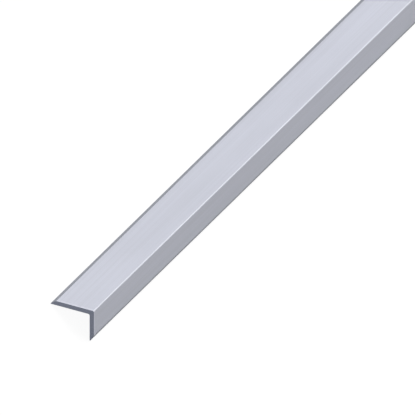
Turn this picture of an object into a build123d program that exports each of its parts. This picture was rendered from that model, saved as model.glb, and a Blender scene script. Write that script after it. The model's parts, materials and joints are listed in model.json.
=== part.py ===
from build123d import *
import os
from math import atan2, degrees

# One length of extruded aluminium angle with unequal legs and bevelled toes.
# It rests on its two toes, heel up, with its length along Y and the floor at Z = 0.

# Driving dimensions, in millimetres
bar_length = 1000.0  # the length the stock is sold in
wide_leg = 20.0  # outside of the heel to the toe of the wide leg
narrow_leg = 14.5  # outside of the heel to the toe of the narrow leg
wall = 2.0  # thickness of both legs
wide_bevel = 2.6  # how far the wide leg's bevel runs back from its toe
narrow_bevel = 2.9  # how far the narrow leg's bevel runs back from its toe
toe_land = 0.3  # narrow flat left at each toe, below the bevel
toe_radius = 0.12  # breaks both edges of that flat
shoulder_radius = 0.4  # softens the line where a bevel meets the outer face
heel_radius = 0.5  # outside corner between the legs
root_radius = 0.7  # inside corner between the legs
end_deburr = 0.04  # light chamfer that takes the burr off both sawn ends

# Turns the drawn section until both toes touch the floor
rest_tilt = degrees(atan2(narrow_leg - wall, wide_leg - wall))


def drawn_section():
    """The section as drawn: heel at 0,0, wide leg to the left, narrow leg down, outer faces on the axes."""
    heel = (0, 0)
    wide_shoulder = (-(wide_leg - wide_bevel), 0)
    wide_nose = (-wide_leg, -(wall - toe_land))
    wide_toe = (-wide_leg, -wall)
    root = (-wall, -wall)
    narrow_toe = (-wall, -narrow_leg)
    narrow_nose = (-(wall - toe_land), -narrow_leg)
    narrow_shoulder = (0, -(narrow_leg - narrow_bevel))
    rounded_corners = {
        heel: heel_radius,
        wide_shoulder: shoulder_radius,
        wide_nose: toe_radius,
        wide_toe: toe_radius,
        root: root_radius,
        narrow_toe: toe_radius,
        narrow_nose: toe_radius,
        narrow_shoulder: shoulder_radius,
    }
    section = make_face(Polyline(*rounded_corners, close=True))
    for corner, radius in rounded_corners.items():
        section = fillet(section.vertices().sort_by_distance(corner)[0], radius)
    return section


def rest_place(section):
    """Where the drawn section goes at rest: turned onto its toes, set on the floor and centred."""
    turn = Rot(0, 0, rest_tilt)
    box = (turn * section).bounding_box()
    return Pos(-box.center().X, -box.min.Y) * turn


def angle_bar():
    """The section drawn out evenly both ways along Y, with the burr taken off both sawn ends."""
    section = drawn_section()
    bar = extrude(Plane.XZ * rest_place(section) * section, amount=bar_length / 2, both=True)
    sawn_ends = bar.faces().filter_by(Axis.Y)
    return chamfer(sawn_ends.edges(), end_deburr)


os.makedirs("parts", exist_ok=True)
export_step(angle_bar(), "parts/angle_bar.step")
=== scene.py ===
import bpy
import json
import math
import numpy as np
from mathutils import Matrix, Vector


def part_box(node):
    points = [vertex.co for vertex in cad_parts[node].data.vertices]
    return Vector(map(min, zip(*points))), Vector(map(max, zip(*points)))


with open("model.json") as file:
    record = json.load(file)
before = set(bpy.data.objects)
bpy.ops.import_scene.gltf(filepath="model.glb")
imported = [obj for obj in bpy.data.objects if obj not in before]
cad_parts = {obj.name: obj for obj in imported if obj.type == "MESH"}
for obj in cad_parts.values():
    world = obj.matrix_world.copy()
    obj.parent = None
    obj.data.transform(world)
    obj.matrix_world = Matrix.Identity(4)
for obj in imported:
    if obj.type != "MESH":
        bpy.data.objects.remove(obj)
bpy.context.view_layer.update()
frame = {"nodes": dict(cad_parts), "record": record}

# The bar at rest, read from the frame: which way it runs and its outer faces look, and its heel
bar = frame["nodes"]["angle_bar"]
mountAt = {mount["name"]: mount for mount in frame["record"]["mounts"]}
along = Vector((0, 1, 0))
wideOut = Vector(mountAt["outer_wide_face"]["axis"])
narrowOut = Vector(mountAt["outer_narrow_face"]["axis"])
nearEnd, farEnd = (end.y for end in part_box("angle_bar"))
heel = (
    wideOut * wideOut.dot(mountAt["outer_wide_face"]["pos_m"])
    + narrowOut * narrowOut.dot(mountAt["outer_narrow_face"]["pos_m"])
)  # where the two outer faces would meet if the heel were sharp

photo = {
    "azimuth": 27.8,  # degrees round the bar, from its near end towards the narrow leg
    "elevation": 31.0,  # degrees above the wide leg's outer face
    "heelAcross": 93.4,  # pixel that the near end of the heel falls on, from the left
    "heelDown": 310.8,  # and from the top
    "pixels": 415,  # both sides of the frame
    "pixelSize": 0.0004085,  # metres of the bar to one pixel
    "distance": 1.2,  # metres from the camera to what it looks at
    "seenFrom": 0.01,  # metres in front of the camera where what it sees starts
    "seenTo": 20,  # and ends
}


def makeCamera():
    # Looks with no perspective, as the photograph does: turned round the bar by the azimuth, then
    # up over the wide leg by the elevation, and shifted until the heel's end falls on its pixel
    azimuth = math.radians(photo["azimuth"])
    elevation = math.radians(photo["elevation"])
    back = (
        narrowOut * math.sin(azimuth) * math.cos(elevation)
        - along * math.cos(azimuth) * math.cos(elevation)
        + wideOut * math.sin(elevation)
    )
    right = narrowOut * math.cos(azimuth) + along * math.sin(azimuth)
    up = back.cross(right)
    middle = (photo["pixels"] - 1) / 2  # pixels are counted from their own centres
    centre = (
        heel
        + along * nearEnd
        + right * (middle - photo["heelAcross"]) * photo["pixelSize"]
        - up * (middle - photo["heelDown"]) * photo["pixelSize"]
    )
    data = bpy.data.cameras.new("photoCamera")
    data.type = "ORTHO"
    data.ortho_scale = photo["pixels"] * photo["pixelSize"]
    data.clip_start = photo["seenFrom"]
    data.clip_end = photo["seenTo"]
    camera = bpy.data.objects.new("photoCamera", data)
    bpy.context.collection.objects.link(camera)
    turned = Matrix((right, up, back)).transposed().to_4x4()
    camera.matrix_world = Matrix.Translation(centre + back * photo["distance"]) @ turned
    bpy.context.scene.camera = camera


makeCamera()
print("camera placed")


def addNode(tree, kind, inputs=None, **settings):
    # A node with its own settings, and with each input given a value or a link
    node = tree.nodes.new(kind)
    for name, value in settings.items():
        setattr(node, name, value)
    for name, value in (inputs or {}).items():
        if isinstance(value, bpy.types.NodeSocket):
            tree.links.new(value, node.inputs[name])
        else:
            node.inputs[name].default_value = value
    return node


def calculate(tree, operation, *numbers):
    # One step of arithmetic on numbers, given in the order of the Math node's inputs
    inputs = dict(enumerate(numbers))
    return addNode(tree, "ShaderNodeMath", inputs, operation=operation).outputs[0]


def multiply(tree, first, *others):
    # All the numbers multiplied together
    for other in others:
        first = calculate(tree, "MULTIPLY", first, other)
    return first


def vectorStep(tree, operation, *vectors):
    # One step of arithmetic on vectors: all the node's outputs, as some give a number
    inputs = dict(enumerate(vectors))
    return addNode(tree, "ShaderNodeVectorMath", inputs, operation=operation).outputs


def ramp(tree, value, start, full):
    # 0 as far as start, 1 from full on, and a smooth step between them, upwards or downwards
    inputs = {"Value": value, "From Min": start, "From Max": full}
    settings = {"interpolation_type": "SMOOTHSTEP"}
    return addNode(tree, "ShaderNodeMapRange", inputs, **settings).outputs["Result"]


def between(tree, amount, low, high):
    # From low to high in a straight line, as the amount goes from 0 to 1
    inputs = {"Value": amount, "To Min": low, "To Max": high}
    return addNode(tree, "ShaderNodeMapRange", inputs).outputs["Result"]


def around(tree, amount, share):
    # From 1 less the share to 1 more than it, as the amount goes from 0 to 1
    return between(tree, amount, 1 - share, 1 + share)


def mixColours(tree, amount, first, second):
    # The Mix node keeps its sockets for colours at inputs 6 and 7 and at output 2
    inputs = {0: amount, 6: first, 7: second}
    return addNode(tree, "ShaderNodeMix", inputs, data_type="RGBA").outputs[2]


def distanceFrom(tree, place, centre):
    # How far off a line along the bar is: the length of the way to it, less its part along Y
    way = vectorStep(tree, "SUBTRACT", place, centre)["Vector"]
    flat = vectorStep(tree, "MULTIPLY", way, (1, 0, 1))["Vector"]
    return vectorStep(tree, "LENGTH", flat)["Value"]


def startGroup(name, vectors, numbers, output):
    # A group with these inputs and one output, still empty between them
    group = bpy.data.node_groups.new(name, "ShaderNodeTree")
    for label in vectors:
        group.interface.new_socket(label, in_out="INPUT", socket_type="NodeSocketVector")
    for label in numbers:
        group.interface.new_socket(label, in_out="INPUT", socket_type="NodeSocketFloat")
    group.interface.new_socket(output, in_out="OUTPUT", socket_type="NodeSocketFloat")
    entry = group.nodes.new("NodeGroupInput").outputs
    leave = group.nodes.new("NodeGroupOutput").inputs
    return group, entry, leave


def placeGroup(tree, group, inputs):
    # The group's one output, with its inputs set
    return addNode(tree, "ShaderNodeGroup", inputs, node_tree=group).outputs[0]


def makeFacing():
    # 1 where the surface faces the direction: the dot product of its normal with the direction,
    # through a smooth step from off square to nearly square
    group, entry, leave = startGroup("facing", ["Normal", "Direction"], ["Off", "Square"], "Mask")
    towards = vectorStep(group, "DOT_PRODUCT", entry["Normal"], entry["Direction"])["Value"]
    group.links.new(ramp(group, towards, entry["Off"], entry["Square"]), leave["Mask"])
    return group


def makeStreaks():
    # Noise drawn out along the bar: it changes so many times to the metre across the bar, and
    # so many times along it, and the part of its range where it mostly lies goes from 0 to 1
    mostlyFrom, mostlyTo = 0.25, 0.75
    numbers = ["Across", "Along", "Detail"]
    group, entry, leave = startGroup("streaks", ["Place"], numbers, "Value")
    pitch = {"X": entry["Across"], "Y": entry["Along"], "Z": entry["Across"]}
    pitch = addNode(group, "ShaderNodeCombineXYZ", pitch).outputs["Vector"]
    place = vectorStep(group, "MULTIPLY", entry["Place"], pitch)["Vector"]
    inputs = {"Vector": place, "Scale": 1.0, "Detail": entry["Detail"]}
    noise = addNode(group, "ShaderNodeTexNoise", inputs).outputs["Fac"]
    group.links.new(ramp(group, noise, mostlyFrom, mostlyTo), leave["Value"])
    return group


def makeSawMarks():
    # Arcs that a round blade leaves: half of 1 plus a sine wave of the distance from the blade's
    # centre, so many waves to the metre, pushed on by noise times the waver
    vectors = ["Place", "Blade Centre"]
    numbers = ["Per Metre", "Waver", "Waver Scale"]
    group, entry, leave = startGroup("sawMarks", vectors, numbers, "Value")
    radius = distanceFrom(group, entry["Place"], entry["Blade Centre"])
    inputs = {"Vector": entry["Place"], "Scale": entry["Waver Scale"]}
    noise = addNode(group, "ShaderNodeTexNoise", inputs).outputs["Fac"]
    push = calculate(group, "MULTIPLY", noise, entry["Waver"])
    waves = calculate(group, "MULTIPLY_ADD", radius, entry["Per Metre"], push)
    sine = calculate(group, "SINE", multiply(group, waves, 2 * math.pi))
    group.links.new(calculate(group, "MULTIPLY_ADD", sine, 0.5, 0.5), leave["Value"])
    return group


finish = {
    # the satin faces; the heel, a little smoother and painted lighter as a painted highlight; and the
    # duller bevels and the sawn ends, both painted darker as painted shade; the colours are linear
    "faces": {"colour": (0.62, 0.637, 0.72, 1), "metallic": 0.25, "roughness": 0.5},
    "heel": {"colour": (0.675, 0.694, 0.765, 1), "metallic": 0.25, "roughness": 0.45},
    # the bevels' and the ends' darker colours are painted shade
    "bevels": {"colour": (0.385, 0.405, 0.46, 1), "metallic": 0.05, "roughness": 0.6},
    "ends": {"colour": (0.38, 0.413, 0.525, 1), "metallic": 0.25, "roughness": 0.6},
    "specular": 0.3,
    "heelReach": (0.00063, 0.00042),  # metres from the sharp heel where its smoother finish and painted highlight start, and are full
    # cosines of the angle off a bevel or an end at which the surface starts to be one, and is one
    "facing": {"bevels": (0.97, 0.995), "ends": (0.5, 0.65)},
    # what drawing through the die leaves: how often each kind changes to the metre, and how far
    # it changes the colour and the roughness, as shares, and the height, in metres
    "streaks": {
        "clouds": {"across": 45, "along": 14, "tint": 0.03, "rough": 0.04, "depth": 0.000002},
        "bands": {"across": 420, "along": 3, "tint": 0.03, "rough": 0.10, "depth": 0.000002},
        "lines": {"across": 3200, "along": 16, "tint": 0.03, "rough": 0.06, "depth": 0.000004},
        "grain": {"across": 9000, "along": 2500, "tint": 0.015, "rough": 0.04, "depth": 0.000001},
    },
    "streakDetail": 2.0,
    # what the saw leaves on the ends
    "marksPerMetre": 2400.0,
    "markWaver": 1.0,  # how far the marks stray, in marks
    "waverScale": 900.0,  # and how often to the metre
    "bladeReach": 0.125,  # from the heel to the middle of the blade
    "bladeLean": 0.4,  # how far it came from the narrow leg's side rather than the wide leg's
    "markTint": 0.10,
    "markDepth": 0.000010,
    # how much lighter the faces are painted beside the ends, a painted highlight along the end edges
    "endHighlightTint": 0.11,
    "endHighlightReach": (0.0015, 0.00075),  # metres from the end where that starts, and is full
}


def bevelWays():
    # Which way the two bevels face: of all the ways that the bar's facets face, leaving out the
    # ends and what is square to a leg, the two with the most area
    decimals = 3  # to which the normals of facets that face one way agree
    facets = bar.data.polygons
    normals = np.empty(3 * len(facets), np.float32)
    areas = np.empty(len(facets), np.float32)
    facets.foreach_get("normal", normals)
    facets.foreach_get("area", areas)
    normals = normals.reshape(-1, 3).round(decimals)
    ways, which = np.unique(normals, axis=0, return_inverse=True)
    faced = np.bincount(which.ravel(), areas)
    cosines = np.abs(ways @ np.array([along, wideOut, narrowOut]).T).max(axis=1)
    faced[cosines > finish["facing"]["bevels"][0]] = 0
    return [Vector(way).normalized() for way in ways[np.argsort(faced)[-2:]].tolist()]


def findSurfaces(tree, place, normal):
    # A mask for each surface that lies over the faces: the heel by how near it is to the line
    # where the outer faces would meet, and the bevels and the ends by which way they face
    masks = {"heel": ramp(tree, distanceFrom(tree, place, heel), *finish["heelReach"])}
    group = makeFacing()
    for surface, ways in (("bevels", bevelWays()), ("ends", [along, -along])):
        off, square = finish["facing"][surface]
        inputs = {"Normal": normal, "Off": off, "Square": square}
        each = [placeGroup(tree, group, {**inputs, "Direction": way}) for way in ways]
        masks[surface] = calculate(tree, "MAXIMUM", *each)
    return masks


def overFaces(tree, quality, masks):
    # The faces' colour or number, with the heel's, the bevels' and the ends' laid over it in turn: in
    # colour, the heel's painted highlight and the bevels' and ends' painted shade
    laid = finish["faces"][quality]
    lay = mixColours if quality == "colour" else between
    for surface, mask in masks.items():
        laid = lay(tree, mask, laid, finish[surface][quality])
    return laid


def layStreaks(tree, place):
    # The streaks' tints and roughnesses multiplied together, and their heights added up
    group = makeStreaks()
    tint, rough, height = 1.0, 1.0, 0.0
    for kind in finish["streaks"].values():
        inputs = {
            "Place": place,
            "Across": kind["across"],
            "Along": kind["along"],
            "Detail": finish["streakDetail"],
        }
        value = placeGroup(tree, group, inputs)
        tint = multiply(tree, tint, around(tree, value, kind["tint"]))
        rough = multiply(tree, rough, around(tree, value, kind["rough"]))
        height = calculate(tree, "MULTIPLY_ADD", value, kind["depth"], height)
    return tint, rough, height


def laySawMarks(tree, place, onEnds):
    # The saw's tint and height, on the ends alone
    towardsBlade = (wideOut + narrowOut * finish["bladeLean"]).normalized()
    inputs = {
        "Place": place,
        "Blade Centre": heel + towardsBlade * finish["bladeReach"],
        "Per Metre": finish["marksPerMetre"],
        "Waver": finish["markWaver"],
        "Waver Scale": finish["waverScale"],
    }
    value = placeGroup(tree, makeSawMarks(), inputs)
    tint = between(tree, onEnds, 1.0, around(tree, value, finish["markTint"]))
    return tint, multiply(tree, onEnds, value, finish["markDepth"])


def layEndHighlight(tree, place, masks):
    # A painted highlight: a tint that grows lighter near an end, by how far off the bar's middle the
    # place is, but not on the bevels or on the end itself
    start, full = finish["endHighlightReach"]
    fromMiddle = calculate(tree, "ABSOLUTE", vectorStep(tree, "DOT_PRODUCT", place, along)["Value"])
    beside = ramp(tree, fromMiddle, farEnd - start, farEnd - full)
    cut = calculate(tree, "MAXIMUM", masks["bevels"], masks["ends"])
    endHighlight = multiply(tree, beside, calculate(tree, "SUBTRACT", 1.0, cut))
    return between(tree, endHighlight, 1.0, 1 + finish["endHighlightTint"])


def makeMetal():
    # Each surface's own colour, with the painted highlight on the heel and the painted shade on the
    # bevels and ends, times the tints of the streaks, the saw and the painted highlight beside the
    # ends, its own roughness times the streaks', and bumps as high as the streaks and the saw's marks
    # together
    material = bpy.data.materials.new("satinAluminium")
    material.use_nodes = True
    tree = material.node_tree
    shader = tree.nodes["Principled BSDF"].inputs
    coordinates = addNode(tree, "ShaderNodeTexCoord").outputs
    place = coordinates["Object"]
    masks = findSurfaces(tree, place, coordinates["Normal"])
    streakTint, streakRough, streakHeight = layStreaks(tree, place)
    markTint, markHeight = laySawMarks(tree, place, masks["ends"])

    tint = multiply(tree, streakTint, markTint, layEndHighlight(tree, place, masks))
    inputs = {0: overFaces(tree, "colour", masks), "Scale": tint}
    colour = addNode(tree, "ShaderNodeVectorMath", inputs, operation="SCALE").outputs["Vector"]
    roughness = multiply(tree, overFaces(tree, "roughness", masks), streakRough)
    height = calculate(tree, "ADD", streakHeight, markHeight)
    bump = addNode(tree, "ShaderNodeBump", {"Height": height, "Distance": 1.0})  # in metres
    tree.links.new(colour, shader["Base Color"])
    tree.links.new(overFaces(tree, "metallic", masks), shader["Metallic"])
    tree.links.new(roughness, shader["Roughness"])
    tree.links.new(bump.outputs["Normal"], shader["Normal"])
    shader["Specular IOR Level"].default_value = finish["specular"]
    return material


bar.material_slots[0].material = makeMetal()
print("finish made")

studio = {
    "lamps": {  # suns: which way from the bar each stands, how strong and how many degrees wide
        "key": {"towards": (-0.33, 0.5, 0.80), "strength": 1.75, "angle": 60},
        "rim": {"towards": (0.195, 0.758, 0.622), "strength": 0.12, "angle": 20},
    },
    "skyLight": 0.3,  # how strongly the white world lights the bar
    "skyShown": 1.0,  # and how white it is where it is seen or reflected
    "floorReach": 6.0,  # metres each way
    "floorBounce": 0.25,  # how much of the light the floor gives back to the bar
    "floorPlain": 0.925,  # how white it is seen whatever the light
    "floorShadowed": 0.16,  # and how much white the light adds, which the bar's shadow takes away
}


def makeLamps():
    # Each sun shines down its own Z, so its Z is turned towards where it stands
    for name, lamp in studio["lamps"].items():
        data = bpy.data.lights.new(name, "SUN")
        data.energy = lamp["strength"]
        data.angle = math.radians(lamp["angle"])
        light = bpy.data.objects.new(name, data)
        light.rotation_mode = "QUATERNION"
        light.rotation_quaternion = Vector(lamp["towards"]).to_track_quat("Z", "Y")
        bpy.context.collection.objects.link(light)


def seenOrReflected(tree):
    # 1 for what is seen, straight, in a gloss or through a glass, and 0 for what only gives light
    path = addNode(tree, "ShaderNodeLightPath").outputs
    seen = calculate(tree, "MAXIMUM", path["Is Camera Ray"], path["Is Glossy Ray"])
    return calculate(tree, "MAXIMUM", seen, path["Is Transmission Ray"])


def makeWorld():
    # White where it is seen or reflected, and dimmer as a light
    world = bpy.data.worlds.new("studio")
    world.use_nodes = True
    tree = world.node_tree
    background = tree.nodes["Background"].inputs
    background["Color"].default_value = (1, 1, 1, 1)
    strength = between(tree, seenOrReflected(tree), studio["skyLight"], studio["skyShown"])
    tree.links.new(strength, background["Strength"])
    bpy.context.scene.world = world


def addDiffuse(tree, grey):
    # A matt surface that gives back this share of its light
    inputs = {"Color": (grey, grey, grey, 1)}
    return addNode(tree, "ShaderNodeBsdfDiffuse", inputs).outputs["BSDF"]


def makePaleFloor():
    # Seen as plain white plus a share of the light on it, and a plain grey to the light itself
    material = bpy.data.materials.new("paleFloor")
    material.use_nodes = True
    tree = material.node_tree
    tree.nodes.clear()
    plain = addNode(tree, "ShaderNodeEmission", {"Strength": studio["floorPlain"]})
    inputs = {0: plain.outputs["Emission"], 1: addDiffuse(tree, studio["floorShadowed"])}
    shown = addNode(tree, "ShaderNodeAddShader", inputs).outputs[0]
    inputs = {0: seenOrReflected(tree), 1: addDiffuse(tree, studio["floorBounce"]), 2: shown}
    surface = addNode(tree, "ShaderNodeMixShader", inputs).outputs[0]
    addNode(tree, "ShaderNodeOutputMaterial", {"Surface": surface})
    return material


def makeFloor():
    # A flat square that reaches as far each way from the bar's middle, at the height of its toes
    reach = studio["floorReach"]
    corners = [(-reach, -reach, 0), (reach, -reach, 0), (reach, reach, 0), (-reach, reach, 0)]
    mesh = bpy.data.meshes.new("floor")
    mesh.from_pydata(corners, [], [(0, 1, 2, 3)])
    mesh.materials.append(makePaleFloor())
    floor = bpy.data.objects.new("floor", mesh)
    bpy.context.collection.objects.link(floor)


makeLamps()
makeWorld()
makeFloor()
print("lights and floor made")

bpy.context.scene.view_settings.view_transform = "Standard"
